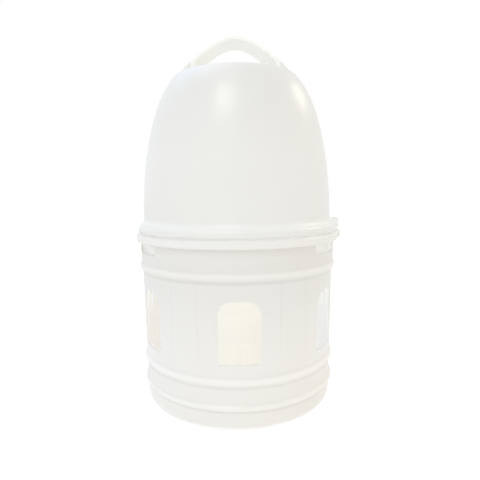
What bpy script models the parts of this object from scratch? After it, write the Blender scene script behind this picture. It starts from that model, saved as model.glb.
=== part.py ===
"""Pigeon drinker: a bell-shaped water tank that twist-locks on a round base with arched windows.

Metres, +Z up. The origin is the middle of the base's flat underside. One window faces -Y, which is
the front, and the two index tabs stand at +X. Angles round the object count from the front
towards +X. A profile is a list of (radius, height) points, and it runs down the outer side.
"""

import math

import bmesh
import bpy
from mathutils import Matrix, Vector
from mathutils.geometry import interpolate_bezier

# Driving dimensions
BASE_RADIUS = 0.1000
BASE_HEIGHT = 0.1770
WALL = 0.0026
TANK_WALL = 0.0024
FIT_GAP = 0.0003
COLLAR_SEGMENTS = 60
NECK_SEGMENTS = 48

# Small amounts used throughout: a broken edge, the overlap where two shapes join, and how far a
# cutter runs on past the material
EASE = 0.0008
BITE = 0.0010
OVERCUT = 0.0030

# Base: bowl, windowed wall, ribs and collar
FLOOR_THICKNESS = 0.0030
FOOT_ROUND = 0.0130
WALL_FOOT_RADIUS = 0.0979
TROUGH_LEDGE_HEIGHT = 0.0500
TROUGH_LEDGE_SLOPE = 0.0004
TROUGH_RADIUS = 0.0946
SHOULDER_HEIGHT = 0.1440
SHOULDER_STEP = 0.0017
RIBS = [(0.0496, 0.0090, 0.0021), (0.0260, 0.0070, 0.0025)]
SHOULDER_RIB_HEIGHT = 0.0090
SHOULDER_RIB_DEPTH = 0.0020
COLLAR_RADIUS = 0.1012
FLANGE_RADIUS = 0.1055
FLANGE_HEIGHT = 0.0080
FLANGE_ROUND = 0.0023
WINDOW_COUNT = 6
WINDOW_WIDTH = 0.0376
WINDOW_SILL = 0.0662
WINDOW_TOP = 0.1232
WINDOW_TOP_ROUND = 0.0122
WINDOW_SILL_ROUND = 0.0012
BRACKET_SPREAD = 8.0
BRACKET_THICKNESS = 0.0020
BRACKET_REACH = 0.0915
BRACKET_FOOT = 0.0810
BRACKET_CORNER = 0.1370

# Bayonet: three lugs on the tank's skirt, three slots under the base's flange
LUG_COUNT = 3
SLOT_CENTRE = 58.0
SLOT_HALF_ANGLE = 13.0
SLOT_HEIGHT = 0.0092
LUG_CENTRE = 65.5
LUG_HALF_ANGLE = 4.5
LUG_HEIGHT = 0.0072
LUG_REACH = 0.1004
LUG_ROOT = 0.0968
ENTRY_HALF_ANGLE = 5.2
ENTRY_REACH = 0.1018
WALL_CUT_INNER = 0.0920
WALL_CUT_OUTER = 0.1060

# Index tabs at +X
TAB_WIDTH = 0.0100
BASE_TAB_REACH = 0.1105
TANK_TAB_REACH = 0.1085
TANK_TAB_FOOT = 0.1800
TANK_TAB_TOP = 0.1900
TAB_EDGE = 0.0011
TAB_RECESS = 0.0003
KNOB_RADIUS = 0.0026
KNOB_REACH = 0.1065

# Funnel that closes the tank, with its dip neck
RIM_THICKNESS = 0.0027
RIM_SEAT_RADIUS = 0.0905
NECK_RADIUS = 0.0400
NECK_TOP = 0.0870
NECK_BOTTOM = 0.0080
CONE_FOOT = (0.0440, 0.0980)
CONE_PULL = (0.0410, 0.0945)
NECK_PULL = (0.0400, 0.0910)
HOOP_HEIGHT = 0.0628
HOOP_WIDTH = 0.0050
HOOP_DEPTH = 0.0010
CHANNEL_WIDTH = 0.0050
CHANNEL_DEPTH = 0.0013
CHANNEL_TOP = 0.0750
CHANNEL_FOOT = 0.0350
CHANNEL_CUT = 0.0100
OUTLET_TOP = 0.0460

# Seal between the funnel's rim and the tank's skirt
SEAL_HEIGHT = 0.0057
SEAL_WIDTH = 0.0026
SEAL_ROUND = 0.0009

# Tank bell; the flange's edge is given as distances in from its radius and up from its underside
SKIRT_RADIUS = 0.0980
BELL_RADIUS = 0.0973
BELL_FOOT = 0.1920
TANK_FLANGE_RADIUS = 0.1031
TANK_FLANGE_EDGE = [(0.0016, 0.0086), (0.0006, 0.0077), (0.0, 0.0057), (0.0001, 0.0020),
                    (0.0007, 0.0007), (0.0017, 0.0)]
FLARE_RADIUS = 0.0070
BELL_RISE = 0.0480
CROWN_RADIUS = 0.0640
CROWN_HEIGHT = 0.3323
CROWN_ANGLE = 47.5
CROWN_PULL = 0.0361
RIM_ROUND = 0.0028
DISH_DEPTH = 0.0030
DISH_RADIUS = 0.0585

# Handle: a strap that carries the bell's outline on over the top, and widens towards its legs
ARCH_TOP = 0.3716
ARCH_FOOT = (0.0600, 0.3292)
ARCH_TOP_PULL = 0.0194
ARCH_FOOT_PULL = (0.0431, 0.3487)
STRAP_TOP_WIDTH = 0.0330
STRAP_FOOT_WIDTH = 0.0450
STRAP_THICKNESS = 0.0032
STRAP_HALF_SPAN = 0.0442
SOCKET_HEIGHT = 0.0070
SOCKET_WALL = 0.0024
SOCKET_FLOOR = 0.0010
BRACE_END = 0.0585
STRAP_EDGE = 0.0008

RIM_BOTTOM = SHOULDER_HEIGHT + SHOULDER_STEP + 0.0006
RIM_TOP = RIM_BOTTOM + RIM_THICKNESS
SKIRT_BOTTOM = RIM_TOP + SEAL_HEIGHT + 2 * FIT_GAP
FLANGE_BOTTOM = BASE_HEIGHT - FLANGE_HEIGHT
SLOT_TOP = FLANGE_BOTTOM - 0.0005
CREST_HEIGHT = CROWN_HEIGHT + RIM_ROUND * (1 - math.cos(math.radians(CROWN_ANGLE)))
DISH_FLOOR = CREST_HEIGHT - DISH_DEPTH


def new_collection(name):
    collection = bpy.data.collections.new(name)
    bpy.context.scene.collection.children.link(collection)
    return collection


def plastic(name, colour, roughness):
    """A plain plastic or rubber material with no metal in it."""
    material = bpy.data.materials.new(name)
    material.use_nodes = True
    shader = material.node_tree.nodes["Principled BSDF"]
    shader.inputs["Base Color"].default_value = (*colour, 1.0)
    shader.inputs["Roughness"].default_value = roughness
    shader.inputs["Metallic"].default_value = 0.0
    return material


def add_piece(name, mesh, collection, material):
    mesh.materials.append(material)
    piece = bpy.data.objects.new(name, mesh)
    collection.objects.link(piece)
    return piece


def add_tool(name, mesh, collection):
    """A shape that only cuts or joins, and isn't a piece of the object."""
    tool = bpy.data.objects.new(name, mesh)
    tool.hide_render = True
    tool.display_type = "WIRE"
    collection.objects.link(tool)
    return tool


def arc(centre, radius, start, end, steps):
    """Points on a circle from one angle to another, in degrees from the +X axis."""
    angles = [math.radians(start + (end - start) * i / steps) for i in range(steps + 1)]
    return [(centre[0] + radius * math.cos(a), centre[1] + radius * math.sin(a)) for a in angles]


def curve_points(knot, handle, end_handle, end_knot, count):
    """Points on one Bezier stretch, both ends included."""
    corners = [Vector((x, z, 0.0)) for x, z in (knot, handle, end_handle, end_knot)]
    return [(point.x, point.y) for point in interpolate_bezier(*corners, count)]


def bead(top, bottom, depth, steps=5):
    """A rounded rib between two points of a profile, standing out by depth."""
    points = []
    for i in range(steps + 1):
        share = i / steps
        radius = top[0] + (bottom[0] - top[0]) * share + depth * math.sin(math.pi * share)
        points.append((radius, top[1] + (bottom[1] - top[1]) * share))
    return points


def inset(points, thickness):
    """The same line moved to its right by a wall's thickness, with mitred corners."""
    moved = []
    for i, point in enumerate(points):
        before = Vector(points[max(i - 1, 0)])
        after = Vector(points[min(i + 1, len(points) - 1)])
        here = Vector(point)
        ways = [way.normalized() for way in (here - before, after - here) if way.length > 0]
        sides = [Vector((way.y, -way.x)) for way in ways]
        middle = sum(sides, Vector((0.0, 0.0))).normalized()
        moved.append(tuple(here + middle * (thickness / middle.dot(sides[0]))))
    return moved


def wire_mesh(name, profile):
    """A profile as a chain of edges, closed when neither end lies on the axis."""
    points = [(radius, 0.0, height) for radius, height in profile]
    edges = [(i, i + 1) for i in range(len(points) - 1)]
    if profile[0][0] > 0:
        edges.append((len(points) - 1, 0))
    mesh = bpy.data.meshes.new(name)
    mesh.from_pydata(points, edges, [])
    return mesh


def turn(piece, segments):
    """Turns the piece's profile once round the Z axis."""
    screw = piece.modifiers.new("turn", "SCREW")
    screw.axis = "Z"
    screw.angle = math.tau
    screw.steps = segments
    screw.render_steps = segments
    screw.use_merge_vertices = True
    screw.merge_threshold = 0.00001
    screw.use_smooth_shade = True


def combine(piece, tool, operation):
    boolean = piece.modifiers.new(tool.name, "BOOLEAN")
    boolean.operation = operation
    boolean.object = tool
    boolean.solver = "EXACT"


def prism_mesh(name, outline, depth):
    """A flat outline in the XZ plane, thickened evenly to both sides of it along Y."""
    curve = bpy.data.curves.new(name, "CURVE")
    curve.dimensions = "2D"
    curve.fill_mode = "BOTH"
    curve.extrude = depth / 2
    spline = curve.splines.new("POLY")
    spline.points.add(len(outline) - 1)
    for point, (x, z) in zip(spline.points, outline):
        point.co = (x, z, 0.0, 1.0)
    spline.use_cyclic_u = True
    guide = bpy.data.objects.new(name, curve)
    bpy.context.scene.collection.objects.link(guide)
    bpy.context.view_layer.update()
    mesh = bpy.data.meshes.new_from_object(guide.evaluated_get(bpy.context.evaluated_depsgraph_get()))
    bpy.data.objects.remove(guide)
    shape = bmesh.new()
    shape.from_mesh(mesh)
    bmesh.ops.remove_doubles(shape, verts=shape.verts, dist=0.000001)
    bmesh.ops.rotate(shape, verts=shape.verts, matrix=Matrix.Rotation(math.radians(90), 3, "X"))
    bmesh.ops.recalc_face_normals(shape, faces=shape.faces)
    shape.to_mesh(mesh)
    shape.free()
    return mesh


def block_mesh(name, low, high):
    """A box between two corners."""
    size = [b - a for a, b in zip(low, high)]
    middle = [(a + b) / 2 for a, b in zip(low, high)]
    shape = bmesh.new()
    bmesh.ops.create_cube(shape, size=1.0, matrix=Matrix.Translation(middle) @ Matrix.Diagonal((*size, 1.0)))
    mesh = bpy.data.meshes.new(name)
    shape.to_mesh(mesh)
    shape.free()
    return mesh


def repeat_round(mesh, angles):
    """One mesh with a copy of the given front-facing mesh at each angle round the Z axis."""
    shape = bmesh.new()
    for angle in angles:
        copy = mesh.copy()
        copy.transform(Matrix.Rotation(math.radians(angle), 4, "Z"))
        shape.from_mesh(copy)
        bpy.data.meshes.remove(copy)
    shape.to_mesh(mesh)
    shape.free()
    return mesh


def side_at(radius, angle):
    """How far to the side a point lies that is turned by an angle from the front."""
    return radius * math.sin(math.radians(angle))


def bell_line(count):
    """The tank's outer side, from the crown down to the flare above its flange."""
    angle = math.radians(CROWN_ANGLE)
    pull = (CROWN_RADIUS + CROWN_PULL * math.cos(angle), CROWN_HEIGHT - CROWN_PULL * math.sin(angle))
    return curve_points((CROWN_RADIUS, CROWN_HEIGHT), pull, (BELL_RADIUS, BELL_FOOT + BELL_RISE),
                        (BELL_RADIUS, BELL_FOOT), count)


def arch_line(first, last):
    """The handle's outer line between two distances from the middle."""
    line = curve_points((0.0, ARCH_TOP), (ARCH_TOP_PULL, ARCH_TOP), ARCH_FOOT_PULL, ARCH_FOOT, 40)
    slope = (line[-1][1] - line[-2][1]) / (line[-1][0] - line[-2][0])
    line.append((BRACE_END, line[-1][1] + slope * (BRACE_END - line[-1][0])))
    inside = [point for point in line[::2] if first < point[0] < last]
    return [(first, height_on(line, first)), *inside, (last, height_on(line, last))]


def height_on(line, x):
    """The height of a line of points at a given x."""
    for (x0, z0), (x1, z1) in zip(line, line[1:]):
        if x0 <= x <= x1:
            return z0 + (z1 - z0) * (x - x0) / (x1 - x0)
    return line[-1][1]


def wall_radius(height):
    """The base's outer wall, which tapers a little towards its foot."""
    share = (height - FOOT_ROUND) / (SHOULDER_HEIGHT - FOOT_ROUND)
    return WALL_FOOT_RADIUS + (BASE_RADIUS - WALL_FOOT_RADIUS) * share


def base_profile():
    """Floor, inner wall, flange, outer wall with its ribs, rounded foot and flat underside."""
    shoulder_top = SHOULDER_HEIGHT + SHOULDER_RIB_HEIGHT / 2
    shoulder_foot = SHOULDER_HEIGHT - SHOULDER_RIB_HEIGHT / 2
    inner_round = FOOT_ROUND - FLOOR_THICKNESS
    inside = [(0.0, FLOOR_THICKNESS)]
    inside += arc((TROUGH_RADIUS - inner_round, FOOT_ROUND), inner_round, -90, 0, 3)
    inside += [
        (TROUGH_RADIUS + TROUGH_LEDGE_SLOPE, TROUGH_LEDGE_HEIGHT),
        (wall_radius(TROUGH_LEDGE_HEIGHT) - WALL, TROUGH_LEDGE_HEIGHT + TROUGH_LEDGE_SLOPE),
        (BASE_RADIUS - WALL, SHOULDER_HEIGHT - SHOULDER_STEP),
        (COLLAR_RADIUS - WALL, SHOULDER_HEIGHT + SHOULDER_STEP),
        (COLLAR_RADIUS - WALL, BASE_HEIGHT - EASE),
        (COLLAR_RADIUS - WALL + EASE, BASE_HEIGHT),
    ]
    flange_middle = FLANGE_RADIUS - FLANGE_ROUND
    outside = arc((flange_middle, BASE_HEIGHT - FLANGE_ROUND), FLANGE_ROUND, 90, 0, 2)
    outside += arc((flange_middle, FLANGE_BOTTOM + FLANGE_ROUND), FLANGE_ROUND, 0, -90, 2)
    outside.append((COLLAR_RADIUS, FLANGE_BOTTOM))
    outside += bead((COLLAR_RADIUS, shoulder_top), (wall_radius(shoulder_foot), shoulder_foot),
                    SHOULDER_RIB_DEPTH)
    for middle, height, depth in RIBS:
        top, foot = middle + height / 2, middle - height / 2
        outside += bead((wall_radius(top), top), (wall_radius(foot), foot), depth)
    outside += arc((WALL_FOOT_RADIUS - FOOT_ROUND, FOOT_ROUND), FOOT_ROUND, 0, -90, 5)
    outside.append((0.0, 0.0))
    return inside + outside


def window_outline():
    """The arched window, with round shoulders and nearly square corners at the sill."""
    half = WINDOW_WIDTH / 2
    top = (half - WINDOW_TOP_ROUND, WINDOW_TOP - WINDOW_TOP_ROUND)
    sill = (half - WINDOW_SILL_ROUND, WINDOW_SILL + WINDOW_SILL_ROUND)
    outline = arc((-sill[0], sill[1]), WINDOW_SILL_ROUND, 180, 270, 2)
    outline += arc(sill, WINDOW_SILL_ROUND, 270, 360, 2)
    outline += arc(top, WINDOW_TOP_ROUND, 0, 90, 7)
    outline += arc((-top[0], top[1]), WINDOW_TOP_ROUND, 90, 180, 7)
    return outline


def round_angles(count, first=0.0):
    return [first + 360.0 * i / count for i in range(count)]


def make_base(parts, tools, material):
    base = add_piece("drinking_base", wire_mesh("drinking_base", base_profile()), parts, material)
    turn(base, COLLAR_SEGMENTS)

    window = prism_mesh("window_cutter", window_outline(), 10 * OVERCUT)
    window.transform(Matrix.Translation((0.0, -BASE_RADIUS, 0.0)))
    windows = add_tool("window_cutter", repeat_round(window, round_angles(WINDOW_COUNT)), tools)
    combine(base, windows, "DIFFERENCE")

    reach = side_at(BASE_RADIUS, SLOT_HALF_ANGLE)
    slot = block_mesh("slot_cutter", (-reach, -WALL_CUT_OUTER, SLOT_TOP - SLOT_HEIGHT),
                      (reach, -WALL_CUT_INNER, SLOT_TOP))
    slots = add_tool("slot_cutter", repeat_round(slot, round_angles(LUG_COUNT, SLOT_CENTRE)), tools)
    combine(base, slots, "DIFFERENCE")

    reach = side_at(BASE_RADIUS, ENTRY_HALF_ANGLE)
    entry = block_mesh("entry_cutter", (-reach, -ENTRY_REACH, SLOT_TOP - OVERCUT),
                       (reach, -WALL_CUT_INNER, BASE_HEIGHT + OVERCUT))
    entries = add_tool("entry_cutter", repeat_round(entry, round_angles(LUG_COUNT, LUG_CENTRE)), tools)
    combine(base, entries, "DIFFERENCE")

    combine(base, make_brackets(tools), "UNION")

    tab = block_mesh("base_tab", (COLLAR_RADIUS, -TAB_WIDTH / 2, FLANGE_BOTTOM + TAB_RECESS),
                     (BASE_TAB_REACH, TAB_WIDTH / 2, BASE_HEIGHT - TAB_RECESS))
    tab_tool = add_tool("base_tab", tab, tools)
    soften(tab_tool, TAB_EDGE)
    combine(base, tab_tool, "UNION")

    knob = bmesh.new()
    place = Matrix.Translation((KNOB_REACH, 0.0, BASE_HEIGHT - TAB_RECESS))
    bmesh.ops.create_uvsphere(knob, u_segments=12, v_segments=8, radius=KNOB_RADIUS, matrix=place)
    knob_mesh = bpy.data.meshes.new("base_knob")
    knob.to_mesh(knob_mesh)
    knob.free()
    combine(base, add_tool("base_knob", knob_mesh, tools), "UNION")
    return base


def make_brackets(tools):
    """Pairs of thin upright brackets between the windows, whose tops carry the funnel's rim."""
    top = RIM_BOTTOM - FIT_GAP
    outline = [
        (BRACKET_REACH, top),
        (BRACKET_REACH, BRACKET_CORNER),
        (wall_radius(BRACKET_FOOT) - WALL + BITE / 2, BRACKET_FOOT),
        (wall_radius(BRACKET_FOOT) - BITE, BRACKET_FOOT),
        (BASE_RADIUS - BITE, BRACKET_CORNER),
        (BASE_RADIUS - BITE, top),
    ]
    bracket = prism_mesh("bracket", outline, BRACKET_THICKNESS)
    bracket.transform(Matrix.Rotation(math.radians(-90), 4, "Z"))
    piers = round_angles(WINDOW_COUNT, 180.0 / WINDOW_COUNT)
    angles = [pier + side for pier in piers for side in (-BRACKET_SPREAD, BRACKET_SPREAD)]
    return add_tool("bracket", repeat_round(bracket, angles), tools)


def soften(piece, width):
    """Rounds the piece's edges."""
    bevel = piece.modifiers.new("soften", "BEVEL")
    bevel.width = width
    bevel.segments = 2
    bevel.limit_method = "ANGLE"


def funnel_line():
    """The funnel's underside from its seat, down the cone and the neck with its hoop."""
    hoop_top = HOOP_HEIGHT + HOOP_WIDTH / 2
    hoop_foot = HOOP_HEIGHT - HOOP_WIDTH / 2
    line = [(COLLAR_RADIUS - WALL - FIT_GAP, RIM_BOTTOM), (RIM_SEAT_RADIUS, RIM_BOTTOM)]
    line += curve_points(CONE_FOOT, CONE_PULL, NECK_PULL, (NECK_RADIUS, NECK_TOP), 5)
    line += [
        (NECK_RADIUS, hoop_top),
        (NECK_RADIUS + HOOP_DEPTH, hoop_top - EASE),
        (NECK_RADIUS + HOOP_DEPTH, hoop_foot + EASE),
        (NECK_RADIUS, hoop_foot),
        (NECK_RADIUS, NECK_BOTTOM),
    ]
    return line


def make_funnel(parts, tools, material):
    under = funnel_line()
    plain = [point for point in under if point[0] <= NECK_RADIUS or point[1] > NECK_TOP]
    upper = inset(plain[1:-1], TANK_WALL)
    profile = [(under[0][0], RIM_TOP)] + under
    profile += [(NECK_RADIUS - TANK_WALL, NECK_BOTTOM)] + upper[::-1]
    profile.append((upper[0][0] + BITE, RIM_TOP))
    funnel = add_piece("outlet_funnel", wire_mesh("outlet_funnel", profile), parts, material)
    turn(funnel, NECK_SEGMENTS)

    half = CHANNEL_WIDTH / 2
    groove = [(-half, CHANNEL_FOOT), (half, CHANNEL_FOOT)]
    groove += arc((0.0, CHANNEL_TOP - half), half, 0, 180, 8)
    channel = prism_mesh("channel_cutter", groove, CHANNEL_CUT)
    middle = NECK_RADIUS - CHANNEL_DEPTH + CHANNEL_CUT / 2
    channel.transform(Matrix.Translation((0.0, -middle, 0.0)))
    combine(funnel, add_tool("channel_cutter", channel, tools), "DIFFERENCE")

    outlet = block_mesh("outlet_cutter", (-half, -NECK_RADIUS - OVERCUT, NECK_BOTTOM - OVERCUT),
                        (half, -NECK_RADIUS + 2 * OVERCUT, OUTLET_TOP))
    combine(funnel, add_tool("outlet_cutter", outlet, tools), "DIFFERENCE")
    return funnel


def make_seal(parts, material):
    """A soft ring with a rounded section, between the funnel's rim and the tank's skirt."""
    outer = SKIRT_RADIUS
    inner = outer - SEAL_WIDTH
    foot = RIM_TOP + FIT_GAP
    top = foot + SEAL_HEIGHT
    profile = arc((outer - SEAL_ROUND, top - SEAL_ROUND), SEAL_ROUND, 90, 0, 1)
    profile += arc((outer - SEAL_ROUND, foot + SEAL_ROUND), SEAL_ROUND, 0, -90, 1)
    profile += arc((inner + SEAL_ROUND, foot + SEAL_ROUND), SEAL_ROUND, -90, -180, 1)
    profile += arc((inner + SEAL_ROUND, top - SEAL_ROUND), SEAL_ROUND, 180, 90, 1)
    seal = add_piece("seal_ring", wire_mesh("seal_ring", profile), parts, material)
    turn(seal, COLLAR_SEGMENTS)
    return seal


def bell_profile():
    """Dished crown, round rim, side, flare, flange and skirt, then back up the inside."""
    angle = math.radians(90 - CROWN_ANGLE)
    rim_centre = (CROWN_RADIUS - RIM_ROUND * math.cos(angle), CROWN_HEIGHT - RIM_ROUND * math.sin(angle))
    flange_foot = BASE_HEIGHT + FIT_GAP
    outside = [(0.0, DISH_FLOOR), (DISH_RADIUS, DISH_FLOOR)]
    outside += arc(rim_centre, RIM_ROUND, 90, math.degrees(angle), 3)
    outside += bell_line(11)[1:]
    outside += arc((BELL_RADIUS + FLARE_RADIUS, BELL_FOOT + BITE / 2), FLARE_RADIUS, 190, 238, 3)
    outside += [(TANK_FLANGE_RADIUS - back, flange_foot + up) for back, up in TANK_FLANGE_EDGE]
    outside += [
        (SKIRT_RADIUS, flange_foot),
        (SKIRT_RADIUS, SKIRT_BOTTOM + EASE),
        (SKIRT_RADIUS - EASE, SKIRT_BOTTOM),
    ]
    inside = [(SKIRT_RADIUS - SEAL_WIDTH - FIT_GAP, SKIRT_BOTTOM),
              (BELL_RADIUS - TANK_WALL, FLANGE_BOTTOM)]
    inside += inset(bell_line(8), TANK_WALL)[::-1]
    inside += [(DISH_RADIUS, DISH_FLOOR - TANK_WALL), (0.0, DISH_FLOOR - TANK_WALL)]
    return outside + inside


def make_bell(parts, tools, material):
    bell = add_piece("tank_bell", wire_mesh("tank_bell", bell_profile()), parts, material)
    turn(bell, COLLAR_SEGMENTS)

    reach = side_at(SKIRT_RADIUS, LUG_HALF_ANGLE)
    lug_top = SLOT_TOP - FIT_GAP
    lug = block_mesh("lug", (-reach, -LUG_REACH, lug_top - LUG_HEIGHT), (reach, -LUG_ROOT, lug_top))
    lugs = add_tool("lug", repeat_round(lug, round_angles(LUG_COUNT, LUG_CENTRE)), tools)
    combine(bell, lugs, "UNION")

    tab = block_mesh("tank_tab", (BELL_RADIUS - BITE, -TAB_WIDTH / 2, TANK_TAB_FOOT),
                     (TANK_TAB_REACH, TAB_WIDTH / 2, TANK_TAB_TOP))
    tab_tool = add_tool("tank_tab", tab, tools)
    soften(tab_tool, TAB_EDGE)
    combine(bell, tab_tool, "UNION")

    for side, label in ((1, "right"), (-1, "left")):
        combine(bell, make_brace(side, label, tools), "UNION")
        combine(bell, make_socket(side, label, tools), "UNION")
        combine(bell, make_socket_pocket(side, label, tools), "DIFFERENCE")
    return bell


def mirrored(outline, side):
    return [(side * x, z) for x, z in outline]


def make_brace(side, label, tools):
    """The solid wedge that carries the strap's line on down to the crown's rim."""
    outer = arch_line(STRAP_HALF_SPAN + FIT_GAP, BRACE_END)
    foot = [(BRACE_END, DISH_FLOOR - BITE), (STRAP_HALF_SPAN + FIT_GAP, DISH_FLOOR - BITE)]
    mesh = prism_mesh("brace_" + label, mirrored(outer + foot, side), STRAP_FOOT_WIDTH)
    return add_tool("brace_" + label, mesh, tools)


def make_socket(side, label, tools):
    """A raised blind socket on the crown that takes one leg of the strap, against its brace."""
    near = STRAP_HALF_SPAN - STRAP_THICKNESS - FIT_GAP - SOCKET_WALL
    far = STRAP_HALF_SPAN + FIT_GAP + SOCKET_WALL
    half = STRAP_FOOT_WIDTH / 2 + FIT_GAP + SOCKET_WALL
    low, high = sorted((side * near, side * far))
    mesh = block_mesh("socket_" + label, (low, -half, DISH_FLOOR - BITE),
                      (high, half, DISH_FLOOR + SOCKET_HEIGHT))
    return add_tool("socket_" + label, mesh, tools)


def make_socket_pocket(side, label, tools):
    near = STRAP_HALF_SPAN - STRAP_THICKNESS - FIT_GAP
    far = STRAP_HALF_SPAN + FIT_GAP
    half = STRAP_FOOT_WIDTH / 2 + FIT_GAP
    low, high = sorted((side * near, side * far))
    mesh = block_mesh("pocket_" + label, (low, -half, DISH_FLOOR + SOCKET_FLOOR),
                      (high, half, DISH_FLOOR + SOCKET_HEIGHT + OVERCUT))
    return add_tool("pocket_" + label, mesh, tools)


def strap_half_width(x):
    """Half the strap's width, which grows with the square of the distance from its middle."""
    share = min(abs(x) / (STRAP_HALF_SPAN - STRAP_THICKNESS), 1.0)
    return (STRAP_TOP_WIDTH + (STRAP_FOOT_WIDTH - STRAP_TOP_WIDTH) * share ** 2) / 2


def band_mesh(name, stations):
    """A band through pairs of points, one on its outer and one on its inner side."""
    shape = bmesh.new()
    rings = []
    for outer, inner in stations:
        corners = [(x, side * strap_half_width(x), z) for side in (-1, 1) for x, z in (outer, inner)]
        rings.append([shape.verts.new(corners[i]) for i in (0, 1, 3, 2)])
    for one, two in zip(rings, rings[1:]):
        for i in range(4):
            j = (i + 1) % 4
            shape.faces.new((one[i], one[j], two[j], two[i]))
    shape.faces.new(rings[0])
    shape.faces.new(rings[-1])
    bmesh.ops.recalc_face_normals(shape, faces=shape.faces)
    mesh = bpy.data.meshes.new(name)
    shape.to_mesh(mesh)
    shape.free()
    return mesh


def make_handle(parts, material):
    """The strap: an arch with a leg at each end that stands in its socket."""
    outer = arch_line(0.0, STRAP_HALF_SPAN)
    inner = inset(outer, STRAP_THICKNESS)
    leg_inner = STRAP_HALF_SPAN - STRAP_THICKNESS
    leg_foot = DISH_FLOOR + SOCKET_FLOOR + FIT_GAP
    half = [pair for pair in zip(outer, inner) if pair[1][0] < leg_inner - EASE]
    half[0] = ((0.0, ARCH_TOP), (0.0, ARCH_TOP - STRAP_THICKNESS))
    half += [(outer[-1], (leg_inner, height_on(inner, leg_inner))),
             ((STRAP_HALF_SPAN, leg_foot), (leg_inner, leg_foot))]
    left = [tuple(mirrored(pair, -1)) for pair in half[:0:-1]]
    handle = add_piece("carry_handle", band_mesh("carry_handle", left + half), parts, material)
    soften(handle, STRAP_EDGE)
    return handle


def shade(piece):
    """Smooth shading with sharp edges kept, on a piece whose mesh is already solid."""
    piece.data.shade_smooth()
    piece.data.set_sharp_from_angle(angle=math.radians(35))


def main():
    for thing in list(bpy.data.objects):
        bpy.data.objects.remove(thing, do_unlink=True)
    parts = new_collection("pigeon_drinker")
    tools = new_collection("cutters")
    tools.hide_render = True
    wall_plastic = plastic("base_plastic", (0.93, 0.92, 0.89), 0.38)
    tank_plastic = plastic("tank_plastic", (0.93, 0.925, 0.905), 0.34)
    funnel_plastic = plastic("funnel_plastic", (0.94, 0.92, 0.86), 0.40)
    handle_plastic = plastic("handle_plastic", (0.92, 0.91, 0.87), 0.36)
    seal_rubber = plastic("seal_rubber", (0.80, 0.79, 0.76), 0.70)
    make_base(parts, tools, wall_plastic)
    make_funnel(parts, tools, funnel_plastic)
    make_seal(parts, seal_rubber)
    make_bell(parts, tools, tank_plastic)
    shade(make_handle(parts, handle_plastic))


main()
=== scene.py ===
"""A pigeon drinker's looks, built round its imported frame: turned walls, windows, slots and strap."""

import math

import bmesh
import bpy
from mathutils import Matrix, Vector
from mathutils.geometry import interpolate_bezier


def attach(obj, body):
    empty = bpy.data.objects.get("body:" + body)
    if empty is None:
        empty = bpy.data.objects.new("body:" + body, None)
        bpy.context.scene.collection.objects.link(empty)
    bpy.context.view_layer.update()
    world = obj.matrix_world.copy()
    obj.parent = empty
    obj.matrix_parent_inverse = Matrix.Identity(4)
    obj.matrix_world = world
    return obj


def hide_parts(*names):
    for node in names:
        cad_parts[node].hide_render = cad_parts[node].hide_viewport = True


bl_info = {
    "name": "Pigeon Drinker",
    "version": (1, 0, 0),
    "blender": (4, 5, 0),
    "location": "View3D > Sidebar > Drinker",
    "description": "Builds the visible pieces of a twist-lock pigeon drinker and a plain studio for it",
    "category": "Object",
}

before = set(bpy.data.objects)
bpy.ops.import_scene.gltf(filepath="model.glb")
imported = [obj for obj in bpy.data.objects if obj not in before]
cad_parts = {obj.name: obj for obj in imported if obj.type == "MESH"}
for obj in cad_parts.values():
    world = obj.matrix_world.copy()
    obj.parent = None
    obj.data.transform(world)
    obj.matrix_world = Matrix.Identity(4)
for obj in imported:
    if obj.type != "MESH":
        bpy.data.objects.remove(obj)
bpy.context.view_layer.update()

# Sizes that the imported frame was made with, in metres. Angles count from the front towards +X.
BASE_RADIUS = 0.1000
BASE_HEIGHT = 0.1770
WALL = 0.0026
TANK_WALL = 0.0024
FIT_GAP = 0.0003
FLOOR_THICKNESS = 0.0030
FOOT_ROUND = 0.0130
WALL_FOOT_RADIUS = 0.0979
TROUGH_LEDGE_HEIGHT = 0.0500
TROUGH_LEDGE_SLOPE = 0.0004
TROUGH_RADIUS = 0.0946
SHOULDER_HEIGHT = 0.1440
SHOULDER_STEP = 0.0017
RIBS = ((0.0496, 0.0090, 0.0021), (0.0260, 0.0070, 0.0025))
SHOULDER_RIB = (0.0090, 0.0020)
COLLAR_RADIUS = 0.1012
FLANGE_RADIUS = 0.1055
FLANGE_HEIGHT = 0.0080
FLANGE_ROUND = 0.0023
FLANGE_BOTTOM = BASE_HEIGHT - FLANGE_HEIGHT
WINDOW_COUNT = 6
WINDOW_WIDTH = 0.0376
WINDOW_SILL = 0.0662
WINDOW_TOP = 0.1232
WINDOW_TOP_ROUND = 0.0122
WINDOW_SILL_ROUND = 0.0012
SLOT_COUNT = 3
SLOT_CENTRE = 58.0
SLOT_HALF_ANGLE = 13.0
SLOT_HEIGHT = 0.0092
SLOT_TOP = FLANGE_BOTTOM - 0.0005
LUG_CENTRE = 65.5
LUG_HALF_ANGLE = 4.5
LUG_HEIGHT = 0.0072
LUG_REACH = 0.1004
LUG_ROOT = 0.0968
ENTRY_HALF_ANGLE = 5.2
ENTRY_REACH = 0.1018
BRACKET_SPREAD = 8.0
BRACKET_THICKNESS = 0.0020
BRACKET_REACH = 0.0915
BRACKET_FOOT = 0.0810
BRACKET_CORNER = 0.1370
TAB_WIDTH = 0.0100
BASE_TAB_REACH = 0.1105
TANK_TAB_REACH = 0.1085
TANK_TAB_SPAN = (0.1800, 0.1900)
KNOB_RADIUS = 0.0026
KNOB_REACH = 0.1065
RIM_BOTTOM = SHOULDER_HEIGHT + SHOULDER_STEP + 0.0006
RIM_THICKNESS = 0.0027
RIM_TOP = RIM_BOTTOM + RIM_THICKNESS
RIM_SEAT_RADIUS = 0.0905
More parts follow.
